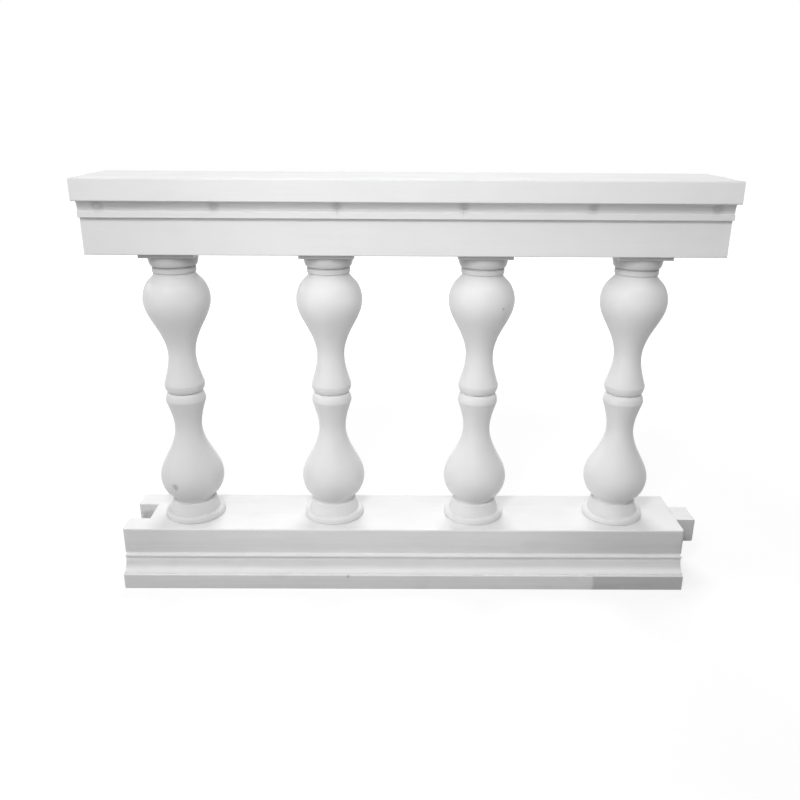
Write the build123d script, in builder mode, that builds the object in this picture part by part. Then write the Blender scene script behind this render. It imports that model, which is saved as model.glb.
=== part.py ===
"""One bay of a white balustrade: a stepped bottom rail, four double-vase balusters and a moulded top rail.

Millimetres, +Z up. The origin is the centre of the underside of the bottom rail. The front faces -Y,
the joining tongue points to +X and the socket for the next bay's tongue opens to -X.
"""

import os

from build123d import *

# Bay
baluster_count = 4
baluster_spacing = 300.0
bottom_rail_length = 1160.0
top_rail_length = 1190.0

# Plinth course of the bottom rail
plinth_width = 230.0
plinth_height = 32.0
plinth_edge_radius = 2.5

# Moulding course of the bottom rail: a lip over a deep hollow that sweeps out to the plinth
base_ledge = 5.0
base_moulding_height = 33.0
base_moulding_fillet = 2.0
base_moulding_run = 20.0
base_moulding_quirk = 4.0
base_moulding_lip = 3.0

# Die of the bottom rail, which carries the balusters and stands proud of the lower courses at its ends
die_ledge = 13.0
die_height = 55.0
die_overhang = 5.0
die_edge_radius = 4.0
die_corner_radius = 6.0

# Tongue and socket at the ends of the die
tongue_length = 40.0
tongue_width = 58.0
tongue_drop = 2.0
tongue_edge_radius = 4.0
socket_side_clearance = 2.5
socket_end_clearance = 3.0
socket_mouth_radius = 7.0

# Foot of a baluster: a round-edged disc and a tapering collar
foot_disc_radius = 62.5
foot_disc_height = 14.0
foot_disc_round = 5.5
foot_disc_lift = 3.5
foot_collar_radius = 52.0
foot_collar_top_radius = 46.0
foot_collar_height = 24.0
foot_collar_round = 2.5

# Vases of a baluster, from the middle joint outwards, with heights as shares of each vase's own height
lower_vase_height = 239.0
upper_vase_height = 245.0
groove_radius = 31.5
rim_radius = 40.3
rim_height_share = 0.073
flare_radius = 31.3
flare_height_share = 0.20
stem_radius = 27.5
stem_height_share = 0.34
swell_radius = 44.5
swell_height_share = 0.553
bulb_radius = 65.0
bulb_height_share = 0.80
shoulder_radius = 54.0
shoulder_height_share = 0.925
neck_radius = 40.5
neck_height_share = 0.985
rim_slope_share = 0.3
neck_slope_share = 0.8

# Cap of a baluster: a neck ring, a groove, a rounded echinus and a square abacus
ring_step = 1.5
ring_height = 10.0
ring_round = 3.0
cap_groove_step = 1.0
cap_groove_height = 3.5
echinus_height = 20.5
echinus_step = 2.0
echinus_flare = 5.5
abacus_width = 104.0
abacus_height = 8.0
abacus_edge_radius = 1.5

# Frieze of the top rail, which rests on the balusters
frieze_width = 132.0
frieze_height = 69.0
frieze_edge_radius = 2.0

# Bed moulding between the frieze and the coping: a list below a hollow that sweeps out under the coping
bed_projection = 9.5
bed_height = 31.0
bed_list = 10.5
bed_quirk = 3.0
bed_run = 7.5

# Coping of the top rail
coping_overhang = 20.0
coping_height = 40.0
coping_edge_radius = 2.5

# Turns of the arcs, in degrees
quarter_turn = 90
half_turn = 180
three_quarter_turn = 270

# Heights and widths that follow
plinth_half = plinth_width / 2
hollow_foot_half = plinth_half - base_ledge
hollow_top_half = hollow_foot_half - base_moulding_run
lip_half = hollow_top_half + base_moulding_quirk
die_half = lip_half - die_ledge
die_length = bottom_rail_length + 2 * die_overhang
moulding_base = plinth_height
die_base = moulding_base + base_moulding_height
bottom_rail_top = die_base + die_height
socket_length = tongue_length + socket_end_clearance
socket_width = tongue_width + 2 * socket_side_clearance

foot_top = bottom_rail_top + foot_disc_height + foot_collar_height
vase_joint = foot_top + lower_vase_height
cap_base = vase_joint + upper_vase_height
frieze_base = cap_base + ring_height + cap_groove_height + echinus_height + abacus_height

frieze_half = frieze_width / 2
bed_base = frieze_base + frieze_height
bed_list_half = frieze_half + bed_projection
bed_hollow_half = bed_list_half - bed_quirk
bed_top_half = bed_hollow_half + bed_run
coping_base = bed_base + bed_height
coping_half = bed_top_half + coping_overhang

middle_number = (1 + baluster_count) / 2
baluster_axes = {n: (n - middle_number) * baluster_spacing for n in range(1, baluster_count + 1)}


def upright_plane(x, z):
    """The plane facing the front with its origin on a baluster's axis."""
    return Plane((x, 0, z), x_dir=Plane.XZ.x_dir, z_dir=Plane.XZ.z_dir)


def write(piece, name):
    """Labels a finished piece and writes its file."""
    piece.part.label = name
    export_step(piece.part, f"parts/{name}.step")


os.makedirs("parts", exist_ok=True)

# Plinth course
with BuildPart() as plinth:
    with BuildSketch(Plane.XY):
        Rectangle(bottom_rail_length, plinth_width)
    extrude(amount=plinth_height)
    fillet(plinth.edges().filter_by(Axis.X).group_by(Axis.Z)[-1], plinth_edge_radius)
write(plinth, "bottom_rail_plinth")

# Moulding course: low fillet, hollow sweep and overhanging lip, the same on both sides
with BuildPart() as moulding:
    with BuildSketch(Plane.YZ.offset(-bottom_rail_length / 2)):
        with BuildLine():
            hollow_base = moulding_base + base_moulding_fillet
            hollow_top = die_base - base_moulding_lip
            Line((0, moulding_base), (hollow_foot_half, moulding_base))
            Line((hollow_foot_half, moulding_base), (hollow_foot_half, hollow_base))
            EllipticalCenterArc(
                (hollow_foot_half, hollow_top), base_moulding_run, hollow_top - hollow_base,
                half_turn, arc_size=quarter_turn
            )
            Line((hollow_top_half, hollow_top), (lip_half, hollow_top))
            Line((lip_half, hollow_top), (lip_half, die_base))
            Line((lip_half, die_base), (0, die_base))
            mirror(about=Plane.YZ)
        make_face()
    extrude(amount=bottom_rail_length)
write(moulding, "bottom_rail_moulding")

# Die, with the tongue at one end and the socket at the other
with BuildPart() as die:
    with BuildSketch(Plane.XY.offset(die_base)):
        Rectangle(die_length, 2 * die_half)
        fillet(vertices(), die_corner_radius)
        with Locations(((socket_length - die_length) / 2, 0)):
            Rectangle(socket_length, socket_width, mode=Mode.SUBTRACT)
        fillet(vertices().group_by(Axis.X)[0].sort_by(Axis.Y)[1:-1], socket_mouth_radius)
    extrude(amount=die_height)
    fillet(die.edges().group_by(Axis.Z)[-1], die_edge_radius)
    with BuildSketch(Plane.XY.offset(die_base + tongue_drop)):
        with Locations(((die_length + tongue_length) / 2 - die_edge_radius, 0)):
            Rectangle(tongue_length + 2 * die_edge_radius, tongue_width)
    extrude(amount=die_height - 2 * tongue_drop)
    fillet(die.faces().sort_by(Axis.X)[-1].edges(), tongue_edge_radius)
write(die, "bottom_rail_die")


def make_foot(x):
    """Round-edged disc and tapering collar that stand on the die."""
    with BuildPart() as foot:
        with BuildSketch(upright_plane(x, bottom_rail_top)):
            with BuildLine():
                foot_height = foot_disc_height + foot_collar_height
                round_centre_radius = foot_disc_radius - foot_disc_round
                round_base = foot_disc_height - foot_disc_round
                collar_round_base = foot_height - foot_collar_round
                Line((0, 0), (foot_disc_radius - foot_disc_lift, 0))
                CenterArc(
                    (foot_disc_radius - foot_disc_lift, foot_disc_lift), foot_disc_lift,
                    three_quarter_turn, quarter_turn
                )
                Line((foot_disc_radius, foot_disc_lift), (foot_disc_radius, round_base))
                CenterArc((round_centre_radius, round_base), foot_disc_round, 0, quarter_turn)
                Line((round_centre_radius, foot_disc_height), (foot_collar_radius, foot_disc_height))
                Line((foot_collar_radius, foot_disc_height), (foot_collar_top_radius, collar_round_base))
                CenterArc(
                    (foot_collar_top_radius - foot_collar_round, collar_round_base), foot_collar_round,
                    0, quarter_turn
                )
                Line((foot_collar_top_radius - foot_collar_round, foot_height), (0, foot_height))
                Line((0, foot_height), (0, 0))
            make_face()
        revolve(axis=Axis((x, 0, 0), Plane.XY.z_dir))
    return foot


def make_vase(x, height):
    """Turned vase that stands on the middle joint: rim, trumpet flare, stem, bulb, shoulder and neck."""
    with BuildPart() as vase:
        with BuildSketch(upright_plane(x, vase_joint)):
            with BuildLine():
                rim = height * rim_height_share
                neck = height * neck_height_share
                Line((0, 0), (groove_radius, 0))
                EllipticalCenterArc(
                    (groove_radius, rim), rim_radius - groove_radius, rim,
                    three_quarter_turn, arc_size=quarter_turn
                )
                Spline(
                    (rim_radius, rim),
                    (flare_radius, height * flare_height_share),
                    (stem_radius, height * stem_height_share),
                    (swell_radius, height * swell_height_share),
                    (bulb_radius, height * bulb_height_share),
                    (shoulder_radius, height * shoulder_height_share),
                    (neck_radius, neck),
                    tangents=((-rim_slope_share, 1), (-neck_slope_share, 1)),
                )
                Line((neck_radius, neck), (neck_radius, height))
                Line((neck_radius, height), (0, height))
                Line((0, height), (0, 0))
            make_face()
        revolve(axis=Axis((x, 0, 0), Plane.XY.z_dir))
    return vase


def make_hanging_vase(x, height):
    """The same vase turned over below the middle joint."""
    with BuildPart() as vase:
        add(make_vase(x, height).part)
        mirror(about=Plane.XY.offset(vase_joint), mode=Mode.REPLACE)
    return vase


def make_cap(x):
    """Neck ring, groove and echinus in one turning, under the square abacus that carries the frieze."""
    with BuildPart() as cap:
        with BuildSketch(upright_plane(x, cap_base)):
            with BuildLine():
                ring_radius = neck_radius + ring_step
                groove_wall = neck_radius - cap_groove_step
                groove_top = ring_height + cap_groove_height
                echinus_radius = neck_radius + echinus_step
                echinus_top = groove_top + echinus_height
                Line((0, 0), (ring_radius - ring_round, 0))
                CenterArc(
                    (ring_radius - ring_round, ring_round), ring_round,
                    three_quarter_turn, quarter_turn
                )
                Line((ring_radius, ring_round), (ring_radius, ring_height))
                Line((ring_radius, ring_height), (groove_wall, ring_height))
                Line((groove_wall, ring_height), (groove_wall, groove_top))
                Line((groove_wall, groove_top), (echinus_radius, groove_top))
                EllipticalCenterArc(
                    (echinus_radius, echinus_top), echinus_flare, echinus_height,
                    three_quarter_turn, arc_size=quarter_turn
                )
                Line((echinus_radius + echinus_flare, echinus_top), (0, echinus_top))
                Line((0, echinus_top), (0, 0))
            make_face()
        revolve(axis=Axis((x, 0, 0), Plane.XY.z_dir))
        with BuildSketch(Plane.XY.offset(frieze_base - abacus_height)):
            with Locations((x, 0)):
                RectangleRounded(abacus_width, abacus_width, abacus_edge_radius)
        extrude(amount=abacus_height)
    return cap


# Balusters, numbered from the socket end
for number, axis_x in baluster_axes.items():
    write(make_foot(axis_x), f"baluster_{number}_foot")
    write(make_hanging_vase(axis_x, lower_vase_height), f"baluster_{number}_lower_vase")
    write(make_vase(axis_x, upper_vase_height), f"baluster_{number}_upper_vase")
    write(make_cap(axis_x), f"baluster_{number}_cap")

# Frieze
with BuildPart() as frieze:
    with BuildSketch(Plane.XY.offset(frieze_base)):
        Rectangle(top_rail_length, frieze_width)
    extrude(amount=frieze_height)
    fillet(frieze.edges().filter_by(Axis.X).group_by(Axis.Z)[0], frieze_edge_radius)
write(frieze, "top_rail_frieze")

# Bed moulding: upright list and hollow sweep up to the coping, the same on both sides
with BuildPart() as bed:
    with BuildSketch(Plane.YZ.offset(-top_rail_length / 2)):
        with BuildLine():
            sweep_base = bed_base + bed_list
            Line((0, bed_base), (bed_list_half, bed_base))
            Line((bed_list_half, bed_base), (bed_list_half, sweep_base))
            Line((bed_list_half, sweep_base), (bed_hollow_half, sweep_base))
            EllipticalCenterArc(
                (bed_top_half, sweep_base), bed_run, coping_base - sweep_base,
                half_turn, arc_size=-quarter_turn
            )
            Line((bed_top_half, coping_base), (0, coping_base))
            mirror(about=Plane.YZ)
        make_face()
    extrude(amount=top_rail_length)
write(bed, "top_rail_bed_moulding")

# Coping
with BuildPart() as coping:
    with BuildSketch(Plane.XY.offset(coping_base)):
        Rectangle(top_rail_length, 2 * coping_half)
    extrude(amount=coping_height)
    fillet(coping.edges().filter_by(Axis.X), coping_edge_radius)
write(coping, "top_rail_coping")
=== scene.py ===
"""Looks of the white balustrade bay: finishes, a pale floor, soft light and the photo's camera."""

import math

import bmesh
import bpy
from mathutils import Matrix, Vector


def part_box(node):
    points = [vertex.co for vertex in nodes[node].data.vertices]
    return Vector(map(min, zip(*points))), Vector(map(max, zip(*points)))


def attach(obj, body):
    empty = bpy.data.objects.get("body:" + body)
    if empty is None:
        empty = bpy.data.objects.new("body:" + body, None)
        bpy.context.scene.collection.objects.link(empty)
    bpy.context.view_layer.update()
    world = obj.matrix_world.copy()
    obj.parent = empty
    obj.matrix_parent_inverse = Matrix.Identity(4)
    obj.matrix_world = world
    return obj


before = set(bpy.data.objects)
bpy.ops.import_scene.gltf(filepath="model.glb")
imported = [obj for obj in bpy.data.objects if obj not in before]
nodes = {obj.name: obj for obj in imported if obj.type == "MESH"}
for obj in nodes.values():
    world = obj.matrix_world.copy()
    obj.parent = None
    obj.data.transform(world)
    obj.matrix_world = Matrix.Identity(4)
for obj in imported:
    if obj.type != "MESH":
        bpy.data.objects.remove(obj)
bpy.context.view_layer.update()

# Lengths and places are in metres where no other unit is named

# Camera: angles in degrees, the sensor in millimetres, the image and its focal length in pixels
IMAGE_SIZE = 800
FOCAL_PIXELS = 786.1
SENSOR_WIDTH = 36.0
CAMERA_PLACE = Vector((-0.0166, -1.5252, 0.9281))
CAMERA_PITCH = 19.84
CAMERA_YAW = -0.26
CAMERA_ROLL = 0.34
CLIP_START = 0.05
CLIP_END = 60.0

# Lights: place, target, edge of the square lamp, power in watts
WORLD_LEVEL = 0.30
BACKGROUND_LEVEL = 1.0
LAMPS = {
    "near_front": ((-0.20, -1.35, 1.60), (-0.05, 0.00, 0.50), 0.34, 9.7),
    "low_front": ((-0.25, -1.35, 1.15), (-0.05, 0.00, 0.50), 0.50, 4.2),
    "left_side": ((-4.10, -1.10, 1.64), (0.00, 0.00, 0.50), 1.60, 34.5),
    "left_back": ((-3.40, 1.20, 1.80), (0.00, 0.00, 0.40), 1.60, 12.0),
    "right_high": ((0.70, -0.75, 2.10), (0.10, 0.00, 0.50), 0.60, 2.6),
    "left_glint": ((-1.05, -1.40, 1.76), (0.00, 0.00, 0.60), 0.42, 2.6),
    "high_back": ((0.00, 3.00, 4.00), (0.00, 0.00, 0.30), 2.00, 98.0),
}
# Lamps that leave no glint of their own on the paint
UNMIRRORED_LAMPS = ("near_front", "low_front", "left_side")

# Floor: its colour where it is seen and where it lights the object, its glow near the object and far off
FLOOR_HALF = 12.0
FLOOR_SHADE_COLOUR = 0.30
FLOOR_BOUNCE_COLOUR = 0.38
FLOOR_GLOW_NEAR = 0.74
FLOOR_GLOW_FAR = 1.0
FLOOR_FADE_START = 0.9
FLOOR_FADE_END = 2.2

# Paint: tones are linear grey levels, and a depth, grey, gain, shade or light is what a layer takes away or
# adds
PAINT_TONE = 0.84
FILLER_TONE = 0.70
ROUGHNESS = (0.44, 0.58)
SPECULAR_LEVEL = 0.12
LACQUER_WEIGHT = 0.12
BALUSTER_LACQUER_WEIGHT = 0.50
LACQUER_ROUGHNESS = 0.15
EDGE_ROUNDING = 0.0010
EDGE_SAMPLES = 8

# Noise patterns: features in a metre, layers of finer detail and, for some, a factor for each axis
NOISE_MIDDLE = 0.5
PLAIN_DETAIL = 3.0
CLOUDS = (3.0, 3.0)
MOTTLE = (16.0, 5.0)
SKIN = (420.0, 2.0)
RIPPLES = (45.0, 3.0)
GLOSS_PATCHES = (14.0, 4.0)
DUST_PATCHES = (38.0, 4.0)
CHIP_PATCHES = (48.0, 4.0)
PINHOLE_PATCHES = (30.0, 3.0)
DIRT_GRAIN = (60.0, 3.0)
STAIN_GRAIN = (160.0, 3.0)
STREAKS = (1.0, 5.0, (6, 190, 190))
RAIL_SMUDGES = (13.0, 5.0, (1, 2.5, 2.5))
BALUSTER_SMUDGES = (11.0, 5.0)
BLOTCHES = (9.0, 5.0, (1, 2, 2))

# Layers on every piece: a spread gives the noise levels between which a pattern comes in
CLOUD_DEPTH = 0.030
MOTTLE_DEPTH = 0.045
SKIN_HEIGHT = 0.00006
RIPPLE_HEIGHT = 0.0002
GLOSS_SPREAD = (0.3, 0.7)
# Dust with painted shade in corners, grooves and under ledges, with less of it on tops
RAIL_DUST_AND_SHADE = 0.035
BALUSTER_DUST_AND_SHADE = 0.070
CORNER_SHADE_REACH = 0.016
CORNER_SHADE_SAMPLES = 8
CORNER_SHADE_OPENNESS = (0.35, 0.95)
DUST_SPREAD = (0.25, 0.75)
LEAST_DUST = 0.55
UPWARD_SLOPE = (0.3, 0.9)
TOP_SHARE_OF_DUST_AND_SHADE = 0.25
CHIP_DEPTH = 0.05
CHIP_REACH = 0.0022
CHIP_SAMPLES = 4
CHIP_TURN = (0.98, 0.90)
CHIP_SPREAD = (0.60, 0.67)
PINHOLE_DEPTH = 0.10
PINHOLE_SINK = 0.0004
PINHOLE_CELLS_PER_METRE = 130.0
PINHOLE_CELL_SHARES = (0.04, 0.10)
PINHOLE_SPREAD = (0.58, 0.66)

# Rails: a rise or fall gives offsets from the edge of a piece, between which a layer comes in or goes out
LEVEL_SLOPE = (0.5, 0.9)
GROUND_HEIGHTS = (0.16, 0.06)
UPPER_DIRT_SHARE = 0.30
STREAK_DEPTH = 0.11
STREAK_HEIGHT = 0.0001
RAIL_SMUDGE_DEPTH = 0.034
RAIL_SMUDGE_SPREAD = (0.53, 0.70)
# Painted shade on the plinth's faces, and a darker stretch of dirt at its right end
PLINTH_SHADE = 0.080
PLINTH_FALL = (0.002, -0.001)
PLINTH_DIRT_DEPTH = 0.21
PLINTH_DIRT_PLACE = (0.392, 0.400)
PLINTH_DIRT_RAGGED = 0.006
# Painted shade in the bottom moulding's hollow, and painted light on the lip at its foot
HOLLOW_SHADE = 0.115
HOLLOW_RISE = (0.003, 0.013)
HOLLOW_FALL = (-0.007, -0.016)
LIP_LIGHT = 0.080
LIP_RISE = (-0.001, 0.0)
LIP_FALL = (0.006, 0.004)
# Painted shade on upright faces towards the left end, and on the die towards its right end and its foot
LEFT_SHADE = 0.085
LEFT_PLACE = (-0.22, -0.58)
LEFT_RISE = (-0.002, 0.002)
RIGHT_SHADE = 0.150
RIGHT_PLACE = (0.20, 0.50)
DIE_RISE = (-0.004, 0.004)
DIE_FALL = (0.010, 0.0)
DIE_FOOT_SHADE = 0.095
DIE_FOOT_FALL = (0.040, 0.0)
# Painted light in the middle of the hollow under the coping
BED_HOLLOW_LIGHT = 0.085
BED_LIGHT_PLACE = (0.52, 0.25)
BED_LIGHT_RISE = (0.013, 0.016)
BED_LIGHT_FALL = (0.001, 0.0)
# Painted light on the level tops of the bottom rail; painted shade with blotchy weathering on the coping's
# top
LOW_TOP_LIGHT = 0.060
LOW_TOP_HEIGHTS = (0.3, 0.2)
COPING_TOP_SHADE_AND_WEATHER = 0.095
WEATHER_RISE = (-0.010, -0.002)
WEATHER_SPREAD = (0.35, 0.65)
LEAST_WEATHER = 0.75

# Balusters
BALUSTER_SMUDGE_DEPTH = 0.017
BALUSTER_SMUDGE_SPREAD = (0.53, 0.72)
# Painted shade on the first baluster, at the left end
FIRST_BALUSTER_SHADE = 0.090
FIRST_BALUSTER_PLACE = (-0.30, -0.40)
# Painted shade on each baluster's top, under the rail
UNDER_RAIL_SHADE = 0.190
UNDER_RAIL_HEIGHTS = (0.625, 0.655)
KNOCK_SINK = 0.0015

# Marks on the rails: place, radius, depth; socket_shade is painted shade inside the end socket, the others
# are marks of use
RAIL_MARKS = {
    "edge_chip": ((-0.116, -0.115, 0.0300), 0.0042, 0.22),
    "grey_end": ((-0.535, -0.050, 0.1200), 0.0700, 0.03),
    "socket_shade": ((-0.560, 0.015, 0.0850), 0.0300, 0.26),
}
BALUSTER_MARKS = {
    "dimple": ((-0.470, -0.0565, 0.2048), 0.0092, 0.24),
    "dot": ((0.186, -0.0515, 0.5824), 0.0036, 0.17),
}
MARK_GRAINS_PER_RADIUS = 2.0
MARK_EDGE_SHARE = 1.6

# Filled fixings in the hollow under the coping, with stains around them and hairlines through two
FIXING_PLACES = (-0.558, -0.349, -0.126, 0.103, 0.338, 0.563)
FIXING_HEIGHT_SHARE = 0.68
FIXING_RADIUS = 0.0050
FIXING_DOME = 0.0006
FIXING_ROOT = 0.0020
FIXING_SIDES = 28
FIXING_RING_SHARES = (0.3, 0.6, 0.85, 1.0)
FIXING_LOBES = 3
FIXING_LOBE_SHARE = 0.04
STAIN_DEPTH = 0.20
STAIN_RADIUS = 0.0130
STAIN_RAGGED_SHARE = 0.5
STAIN_CORE_SHARE = 0.3
STAIN_EDGE_SHARE = 1.5
HAIRLINE_PLACES = FIXING_PLACES[2:4]
HAIRLINE_DEPTH = 0.10
HAIRLINE_WIDTH = 0.0011
HAIRLINE_RISE = (-0.020, -0.010)
HAIRLINE_FALL = (0.012, 0.006)

# Heights of the courses, from the frame
plinth_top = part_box("bottom_rail_plinth")[1][2]
moulding_low, moulding_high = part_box("bottom_rail_moulding")
moulding_bottom, moulding_top = moulding_low[2], moulding_high[2]
die_low, die_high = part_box("bottom_rail_die")
die_bottom, die_top = die_low[2], die_high[2]
bed_low, bed_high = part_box("top_rail_bed_moulding")
bed_bottom, bed_top = bed_low[2], bed_high[2]
coping_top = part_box("top_rail_coping")[1][2]
fixing_height = bed_bottom + FIXING_HEIGHT_SHARE * (bed_top - bed_bottom)


def heights(base, offsets):
    """Heights at some offsets from a base."""
    return [base + offset for offset in offsets]


def add_node(tree, kind, values=(), **settings):
    """A node with its settings and inputs; an input given as a socket is linked."""
    node = tree.nodes.new(kind)
    for name, value in settings.items():
        setattr(node, name, value)
    for name, value in dict(values).items():
        if isinstance(value, bpy.types.NodeSocket):
            tree.links.new(value, node.inputs[name])
        else:
            node.inputs[name].default_value = value
    return node


def calculate(tree, operation, first, second=0.0, third=0.0, clamp=False):
    """The result of one sum on numbers or sockets."""
    terms = {0: first, 1: second, 2: third}
    return add_node(tree, "ShaderNodeMath", terms, operation=operation, use_clamp=clamp).outputs[0]


def fade(tree, value, start, end, low=0.0, high=1.0):
    """A smooth change from low to high while the value goes from start to end."""
    limits = {"Value": value, "From Min": start, "From Max": end, "To Min": low, "To Max": high}
    return add_node(tree, "ShaderNodeMapRange", limits, interpolation_type="SMOOTHSTEP").outputs[0]


def seen_directly(tree):
    """One for rays that show a surface as a background: camera, glossy and transmission rays."""
    path = add_node(tree, "ShaderNodeLightPath")
    mirrored = calculate(tree, "ADD", path.outputs["Is Glossy Ray"], path.outputs["Is Transmission Ray"])
    return calculate(tree, "ADD", path.outputs["Is Camera Ray"], mirrored, clamp=True)


def make_camera():
    """Camera at the photo's viewing angle."""
    pitch, yaw, roll = (math.radians(a) for a in (CAMERA_PITCH, CAMERA_YAW, CAMERA_ROLL))
    right = Vector((math.cos(yaw), math.sin(yaw), 0))
    level = Vector((-math.sin(yaw), math.cos(yaw), 0))
    forward = level * math.cos(pitch) - Vector((0, 0, math.sin(pitch)))
    up = level * math.sin(pitch) + Vector((0, 0, math.cos(pitch)))
    turned_right = right * math.cos(roll) + up * math.sin(roll)
    turned_up = up * math.cos(roll) - right * math.sin(roll)
    data = bpy.data.cameras.new("camera")
    data.sensor_width = SENSOR_WIDTH
    data.lens = FOCAL_PIXELS / IMAGE_SIZE * SENSOR_WIDTH
    data.clip_start, data.clip_end = CLIP_START, CLIP_END
    camera = bpy.data.objects.new("camera", data)
    bpy.context.scene.collection.objects.link(camera)
    matrix = Matrix((turned_right, turned_up, -forward)).transposed().to_4x4()
    matrix.translation = CAMERA_PLACE
    camera.matrix_world = matrix
    bpy.context.scene.camera = camera


def make_lamp(name, place, target, size, power):
    """Square soft lamp aimed at a point."""
    data = bpy.data.lights.new(name, "AREA")
    data.shape, data.size, data.energy = "SQUARE", size, power
    lamp = bpy.data.objects.new(name, data)
    bpy.context.scene.collection.objects.link(lamp)
    lamp.location = place
    lamp.visible_glossy = name not in UNMIRRORED_LAMPS
    lamp.rotation_mode = "QUATERNION"
    lamp.rotation_quaternion = (Vector(target) - Vector(place)).to_track_quat("-Z", "Y")


def make_world():
    """White as a background, a plain grey level as light."""
    world = bpy.data.worlds.new("studio")
    bpy.context.scene.world = world
    world.use_nodes = True
    tree = world.node_tree
    tree.nodes.clear()
    white = (1, 1, 1, 1)
    light = add_node(tree, "ShaderNodeBackground", {"Color": white, "Strength": WORLD_LEVEL})
    background = add_node(tree, "ShaderNodeBackground", {"Color": white, "Strength": BACKGROUND_LEVEL})
    choice = {0: seen_directly(tree), 1: light.outputs[0], 2: background.outputs[0]}
    mix = add_node(tree, "ShaderNodeMixShader", choice)
    add_node(tree, "ShaderNodeOutputWorld", {"Surface": mix.outputs[0]})


def make_floor():
    """Pale floor that keeps the object's shadow and turns to the background's white farther out."""
    mesh = bpy.data.meshes.new("floor")
    corners = [(-1, -1), (1, -1), (1, 1), (-1, 1)]
    mesh.from_pydata([(x * FLOOR_HALF, y * FLOOR_HALF, 0) for x, y in corners], [], [(0, 1, 2, 3)])
    floor = bpy.data.objects.new("floor", mesh)
    bpy.context.scene.collection.objects.link(floor)
    material = bpy.data.materials.new("pale_floor")
    material.use_nodes = True
    tree = material.node_tree
    tree.nodes.clear()
    seen = seen_directly(tree)
    place = add_node(tree, "ShaderNodeTexCoord").outputs["Object"]
    distance = add_node(tree, "ShaderNodeVectorMath", {0: place}, operation="LENGTH").outputs["Value"]
    colour = fade(tree, seen, 0.0, 1.0, FLOOR_BOUNCE_COLOUR, FLOOR_SHADE_COLOUR)
    glow = fade(tree, distance, FLOOR_FADE_START, FLOOR_FADE_END, FLOOR_GLOW_NEAR, FLOOR_GLOW_FAR)
    diffuse = add_node(tree, "ShaderNodeBsdfDiffuse", {"Color": colour})
    emission = add_node(tree, "ShaderNodeEmission", {"Strength": calculate(tree, "MULTIPLY", seen, glow)})
    both = add_node(tree, "ShaderNodeAddShader", {0: diffuse.outputs[0], 1: emission.outputs[0]})
    add_node(tree, "ShaderNodeOutputMaterial", {"Surface": both.outputs[0]})
    mesh.materials.append(material)


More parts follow.
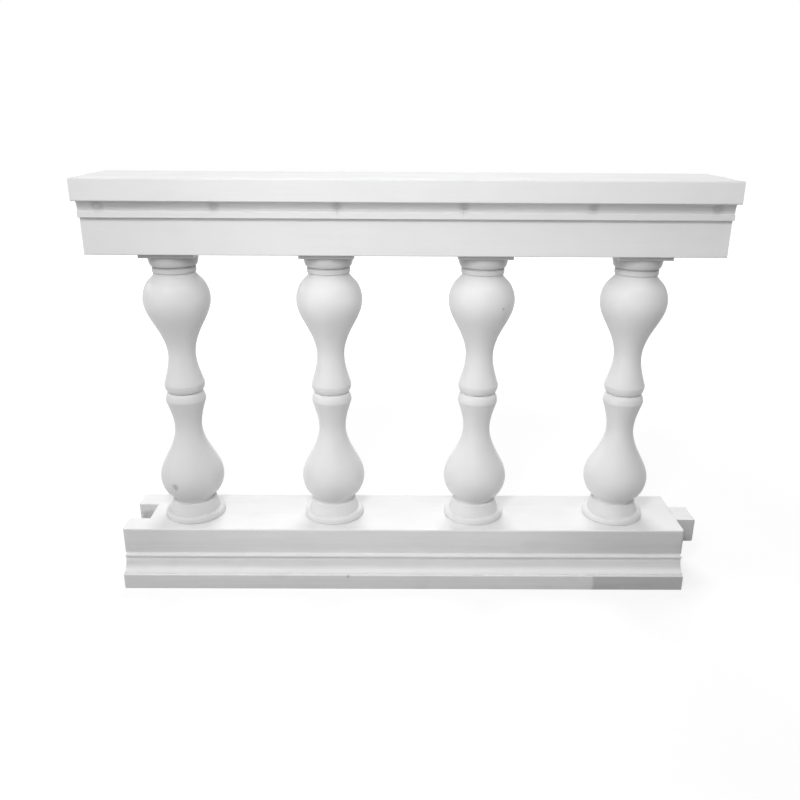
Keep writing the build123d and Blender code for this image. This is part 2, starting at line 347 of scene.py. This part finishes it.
class Finish:
    """A painted material, whose layers are added by short calls."""

    def __init__(self, name, tone, lacquer_weight):
        self.material = bpy.data.materials.new(name)
        self.material.use_nodes = True
        self.tree = self.material.node_tree
        self.shader = self.tree.nodes["Principled BSDF"]
        self.shader.inputs["Specular IOR Level"].default_value = SPECULAR_LEVEL
        self.shader.inputs["Coat Weight"].default_value = lacquer_weight
        self.shader.inputs["Coat Roughness"].default_value = LACQUER_ROUGHNESS
        self.place = add_node(self.tree, "ShaderNodeTexCoord").outputs["Object"]
        axes = add_node(self.tree, "ShaderNodeSeparateXYZ", {0: self.place}).outputs
        self.x, self.z = axes["X"], axes["Z"]
        self.facing = add_node(self.tree, "ShaderNodeNewGeometry").outputs["Normal"]
        self.upward = add_node(self.tree, "ShaderNodeSeparateXYZ", {0: self.facing}).outputs["Z"]
        self.tone = tone
        self.height = 0.0

    def calculate(self, operation, *terms):
        """The result of one sum on numbers or sockets."""
        return calculate(self.tree, operation, *terms)

    def product(self, first, *others):
        """Masks or numbers multiplied together."""
        result = first
        for other in others:
            result = self.calculate("MULTIPLY", result, other)
        return result

    def fade(self, value, start, end, low=0.0, high=1.0):
        """A smooth change from low to high while the value goes from start to end."""
        return fade(self.tree, value, start, end, low, high)

    def between(self, value, rise, fall):
        """Mask that comes in over the rise and goes out over the fall."""
        return self.product(self.fade(value, *rise), self.fade(value, *fall))

    def distance(self, value, place):
        """How far a value is from a place, on either side."""
        return self.calculate("ABSOLUTE", self.calculate("SUBTRACT", value, place))

    def noise(self, scale, detail=PLAIN_DETAIL, factors=(1, 1, 1)):
        """Cloudy noise from 0 to 1, with a finer grain along an axis that has a larger factor."""
        place = add_node(self.tree, "ShaderNodeMapping", {"Vector": self.place, "Scale": factors}).outputs[0]
        values = {"Vector": place, "Scale": scale, "Detail": detail}
        return add_node(self.tree, "ShaderNodeTexNoise", values).outputs["Fac"]

    def rounded(self, radius, samples):
        """Normals as if the edges were rounded."""
        return add_node(self.tree, "ShaderNodeBevel", {"Radius": radius}, samples=samples).outputs["Normal"]

    def vary(self, pattern, depth):
        """Lightens and darkens the paint by a noise pattern about its middle."""
        swing = self.product(self.calculate("SUBTRACT", pattern, NOISE_MIDDLE), depth)
        self.tone = self.calculate("ADD", self.tone, swing)

    def darken(self, mask, depth):
        """Takes tone away where a mask from 0 to 1 is high."""
        self.tone = self.calculate("SUBTRACT", self.tone, self.product(mask, depth))

    def lighten(self, mask, gain):
        """Adds tone where a mask from 0 to 1 is high."""
        self.darken(mask, -gain)

    def raise_by(self, pattern, height):
        """Adds a pattern to the relief."""
        self.height = self.calculate("MULTIPLY_ADD", pattern, height, self.height)

    def spot(self, place, radius):
        """Ragged round mask about a place."""
        away = add_node(self.tree, "ShaderNodeVectorMath", {0: self.place, 1: place}, operation="DISTANCE")
        grain = self.noise(MARK_GRAINS_PER_RADIUS / radius)
        ragged = self.calculate("MULTIPLY_ADD", grain, radius, away.outputs["Value"])
        return self.fade(ragged, radius, MARK_EDGE_SHARE * radius, 1.0, 0.0)

    def dust_and_shade(self):
        """Mask of painted shade in corners, grooves and under ledges, broken up by noise like dust, and
        weaker on tops.
        """
        reach = {"Distance": CORNER_SHADE_REACH}
        around = add_node(self.tree, "ShaderNodeAmbientOcclusion", reach, samples=CORNER_SHADE_SAMPLES)
        corner = self.fade(around.outputs["AO"], *CORNER_SHADE_OPENNESS, 1.0, 0.0)
        patchy = self.fade(self.noise(*DUST_PATCHES), *DUST_SPREAD, LEAST_DUST, 1.0)
        less_on_tops = self.fade(self.upward, *UPWARD_SLOPE, 1.0, TOP_SHARE_OF_DUST_AND_SHADE)
        return self.product(corner, patchy, less_on_tops)

    def chips(self):
        """Mask of small knocks here and there along the sharp edges."""
        normals = {0: self.rounded(CHIP_REACH, CHIP_SAMPLES), 1: self.facing}
        turn = add_node(self.tree, "ShaderNodeVectorMath", normals, operation="DOT_PRODUCT").outputs["Value"]
        edge = self.fade(turn, *CHIP_TURN)
        return self.product(edge, self.fade(self.noise(*CHIP_PATCHES), *CHIP_SPREAD))

    def pinholes(self):
        """Mask of sparse pinholes left by air in the mould."""
        grid = {"Vector": self.place, "Scale": PINHOLE_CELLS_PER_METRE}
        cells = add_node(self.tree, "ShaderNodeTexVoronoi", grid)
        hole = self.fade(cells.outputs["Distance"], *PINHOLE_CELL_SHARES, 1.0, 0.0)
        return self.product(hole, self.fade(self.noise(*PINHOLE_PATCHES), *PINHOLE_SPREAD))

    def finish(self):
        """Puts tone, gloss and relief on the shader."""
        softened = self.rounded(EDGE_ROUNDING, EDGE_SAMPLES)
        relief = {"Height": self.height, "Strength": 1.0, "Distance": 1.0, "Normal": softened}
        bump = add_node(self.tree, "ShaderNodeBump", relief)
        gloss = self.fade(self.noise(*GLOSS_PATCHES), *GLOSS_SPREAD, *ROUGHNESS)
        link = self.tree.links.new
        link(self.tone, self.shader.inputs["Base Color"])
        link(gloss, self.shader.inputs["Roughness"])
        link(bump.outputs["Normal"], self.shader.inputs["Normal"])
        return self.material


def painted(name, dust_and_shade_depth, tone=PAINT_TONE, lacquer_weight=LACQUER_WEIGHT):
    """The layers that every piece has: a faint mottle, a fine skin, pinholes, knocks, and dust with painted
    shade in corners.
    """
    paint = Finish(name, tone, lacquer_weight)
    paint.vary(paint.noise(*CLOUDS), CLOUD_DEPTH)
    paint.vary(paint.noise(*MOTTLE), MOTTLE_DEPTH)
    paint.raise_by(paint.noise(*SKIN), SKIN_HEIGHT)
    paint.raise_by(paint.noise(*RIPPLES), RIPPLE_HEIGHT)
    pinholes = paint.pinholes()
    paint.darken(pinholes, PINHOLE_DEPTH)
    paint.raise_by(pinholes, -PINHOLE_SINK)
    paint.darken(paint.chips(), CHIP_DEPTH)
    paint.darken(paint.dust_and_shade(), dust_and_shade_depth)
    return paint


def brush_rails(paint):
    """Brush marks and smudges along the rails, stronger near the ground."""
    near_ground = paint.fade(paint.z, *GROUND_HEIGHTS, UPPER_DIRT_SHARE, 1.0)
    streaks = paint.noise(*STREAKS)
    paint.vary(streaks, paint.product(near_ground, STREAK_DEPTH))
    paint.raise_by(streaks, STREAK_HEIGHT)
    smudges = paint.fade(paint.noise(*RAIL_SMUDGES), *RAIL_SMUDGE_SPREAD)
    paint.darken(smudges, paint.product(near_ground, RAIL_SMUDGE_DEPTH))


def soil_and_shade_plinth(paint, upright):
    """Painted shade on the plinth's faces, with a darker stretch of dirt at its right end."""
    on_plinth = paint.product(upright, paint.fade(paint.z, *heights(plinth_top, PLINTH_FALL)))
    ragged = paint.calculate("MULTIPLY_ADD", paint.noise(*DIRT_GRAIN), PLINTH_DIRT_RAGGED, paint.x)
    dirt = paint.fade(ragged, *PLINTH_DIRT_PLACE)
    paint.darken(paint.product(dirt, on_plinth), PLINTH_DIRT_DEPTH)
    paint.darken(on_plinth, PLINTH_SHADE)


def shade_bottom_moulding(paint, upright):
    """Painted shade in the hollow, over a lip lightened with painted light."""
    hollow_rise, hollow_fall = heights(moulding_bottom, HOLLOW_RISE), heights(moulding_top, HOLLOW_FALL)
    paint.darken(paint.between(paint.z, hollow_rise, hollow_fall), HOLLOW_SHADE)
    lip = paint.between(paint.z, heights(moulding_bottom, LIP_RISE), heights(moulding_bottom, LIP_FALL))
    paint.lighten(paint.product(upright, lip), LIP_LIGHT)


def shade_faces(paint, upright):
    """Painted shade on upright faces: darker towards the left end, and on the die towards the right end and
    its foot.
    """
    over_moulding = paint.fade(paint.z, *heights(moulding_top, LEFT_RISE))
    to_left = paint.fade(paint.x, *LEFT_PLACE)
    paint.darken(paint.product(to_left, upright, over_moulding), LEFT_SHADE)
    on_die = paint.between(paint.z, heights(die_bottom, DIE_RISE), heights(die_top, DIE_FALL))
    die_face = paint.product(upright, on_die)
    paint.darken(paint.product(paint.fade(paint.x, *RIGHT_PLACE), die_face), RIGHT_SHADE)
    die_foot = paint.fade(paint.z, *heights(die_bottom, DIE_FOOT_FALL))
    paint.darken(paint.product(die_foot, die_face), DIE_FOOT_SHADE)


def light_bed_hollow(paint):
    """Painted light in the middle of the hollow under the coping."""
    middle = paint.fade(paint.calculate("ABSOLUTE", paint.x), *BED_LIGHT_PLACE)
    hollow = paint.between(paint.z, heights(bed_bottom, BED_LIGHT_RISE), heights(bed_top, BED_LIGHT_FALL))
    paint.lighten(paint.product(middle, hollow), BED_HOLLOW_LIGHT)


def light_and_weather_tops(paint, level):
    """Painted light on the level tops of the bottom rail, and painted shade with blotchy weathering on the
    coping's top.
    """
    paint.lighten(paint.product(level, paint.fade(paint.z, *LOW_TOP_HEIGHTS)), LOW_TOP_LIGHT)
    exposed = paint.fade(paint.z, *heights(coping_top, WEATHER_RISE))
    blotches = paint.fade(paint.noise(*BLOTCHES), *WEATHER_SPREAD, LEAST_WEATHER, 1.0)
    paint.darken(paint.product(level, exposed, blotches), COPING_TOP_SHADE_AND_WEATHER)


def stain_fixings(paint):
    """Soft stains around the fixings, and a hairline through some of them."""
    along = 1.0
    for fixing_x in FIXING_PLACES:
        along = paint.calculate("MINIMUM", along, paint.distance(paint.x, fixing_x))
    up = paint.calculate("SUBTRACT", paint.z, fixing_height)
    away = paint.calculate("SQRT", paint.calculate("MULTIPLY_ADD", along, along, paint.product(up, up)))
    grain = paint.noise(*STAIN_GRAIN)
    ragged = paint.calculate("MULTIPLY_ADD", grain, STAIN_RAGGED_SHARE * STAIN_RADIUS, away)
    stain = paint.fade(ragged, STAIN_CORE_SHARE * STAIN_RADIUS, STAIN_EDGE_SHARE * STAIN_RADIUS, 1.0, 0.0)
    paint.darken(stain, STAIN_DEPTH)
    rise, fall = heights(fixing_height, HAIRLINE_RISE), heights(fixing_height, HAIRLINE_FALL)
    beside = paint.between(paint.z, rise, fall)
    for line_x in HAIRLINE_PLACES:
        off = paint.distance(paint.x, line_x)
        line = paint.fade(off, HAIRLINE_WIDTH / 2, HAIRLINE_WIDTH, 1.0, 0.0)
        paint.darken(paint.product(line, beside), HAIRLINE_DEPTH)


def make_rail_white():
    """Rails: brushed along their length, smudged, and dirtier near the ground, with painted shade and painted
    light on their faces, hollows and tops.
    """
    paint = painted("rail_white", RAIL_DUST_AND_SHADE)
    level = paint.fade(paint.upward, *LEVEL_SLOPE)
    upright = paint.calculate("SUBTRACT", 1.0, level)
    brush_rails(paint)
    soil_and_shade_plinth(paint, upright)
    shade_bottom_moulding(paint, upright)
    shade_faces(paint, upright)
    light_bed_hollow(paint)
    light_and_weather_tops(paint, level)
    stain_fixings(paint)
    for place, radius, depth in RAIL_MARKS.values():
        paint.darken(paint.spot(place, radius), depth)
    return paint.finish()


def make_baluster_white():
    """Balusters: smooth lacquered castings with a few small knocks, with painted shade on the first one and
    under the rail.
    """
    paint = painted("baluster_white", BALUSTER_DUST_AND_SHADE, lacquer_weight=BALUSTER_LACQUER_WEIGHT)
    smudges = paint.fade(paint.noise(*BALUSTER_SMUDGES), *BALUSTER_SMUDGE_SPREAD)
    paint.darken(smudges, BALUSTER_SMUDGE_DEPTH)
    # Painted shade on the first baluster
    paint.darken(paint.fade(paint.x, *FIRST_BALUSTER_PLACE), FIRST_BALUSTER_SHADE)
    # Painted shade on the tops of the balusters, under the rail
    paint.darken(paint.fade(paint.z, *UNDER_RAIL_HEIGHTS), UNDER_RAIL_SHADE)
    for place, radius, depth in BALUSTER_MARKS.values():
        knock = paint.spot(place, radius)
        paint.darken(knock, depth)
        paint.raise_by(knock, -KNOCK_SINK)
    return paint.finish()


def add_filler_head(shape, seat, facing, phase):
    """One slightly domed filler head, not quite round, with its root below the surface."""
    turn = facing.to_track_quat("Z", "Y").to_matrix()
    profile = [(share, FIXING_DOME * math.cos(share * math.pi / 2)) for share in FIXING_RING_SHARES]
    profile.append((1.0, -FIXING_ROOT))
    rings = []
    for share, height in profile:
        ring = []
        for side in range(FIXING_SIDES):
            angle = 2 * math.pi * side / FIXING_SIDES
            lobes = 1 + FIXING_LOBE_SHARE * math.sin(FIXING_LOBES * angle + phase)
            flat = Vector((math.cos(angle), math.sin(angle), 0)) * share * FIXING_RADIUS * lobes
            ring.append(shape.verts.new(seat + turn @ (flat + Vector((0, 0, height)))))
        rings.append(ring)
    for inner, outer in zip(rings, rings[1:]):
        for side in range(FIXING_SIDES):
            after = (side + 1) % FIXING_SIDES
            shape.faces.new((inner[side], outer[side], outer[after], inner[after]))
    shape.faces.new(rings[0])
    shape.faces.new(reversed(rings[-1]))


def make_fixings(name, side, material):
    """The filler heads in the bed moulding's hollow on one side: -1 is the front and 1 the back."""
    bed = nodes["top_rail_bed_moulding"]
    inward = Vector((0, -side, 0))
    shape = bmesh.new()
    for phase, fixing_x in enumerate(FIXING_PLACES):
        outside = Vector((fixing_x, side, fixing_height))
        seat, facing = bed.ray_cast(outside, inward)[1:3]
        add_filler_head(shape, seat, facing, phase)
    bmesh.ops.recalc_face_normals(shape, faces=shape.faces)
    for face in shape.faces:
        face.smooth = True
    mesh = bpy.data.meshes.new(name)
    shape.to_mesh(mesh)
    shape.free()
    mesh.materials.append(material)
    piece = bpy.data.objects.new(name, mesh)
    bpy.context.scene.collection.objects.link(piece)
    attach(piece, "root")


make_camera()
make_world()
make_floor()
for lamp_name, lamp in LAMPS.items():
    make_lamp(lamp_name, *lamp)

rail_white = make_rail_white()
baluster_white = make_baluster_white()
for node_name, node in nodes.items():
    node.data.materials.clear()
    node.data.materials.append(baluster_white if node_name.startswith("baluster") else rail_white)
filler = painted("fixing_filler", RAIL_DUST_AND_SHADE, FILLER_TONE).finish()
make_fixings("front_fixings", -1, filler)
make_fixings("back_fixings", 1, filler)

bpy.context.scene.view_settings.view_transform = "Standard"
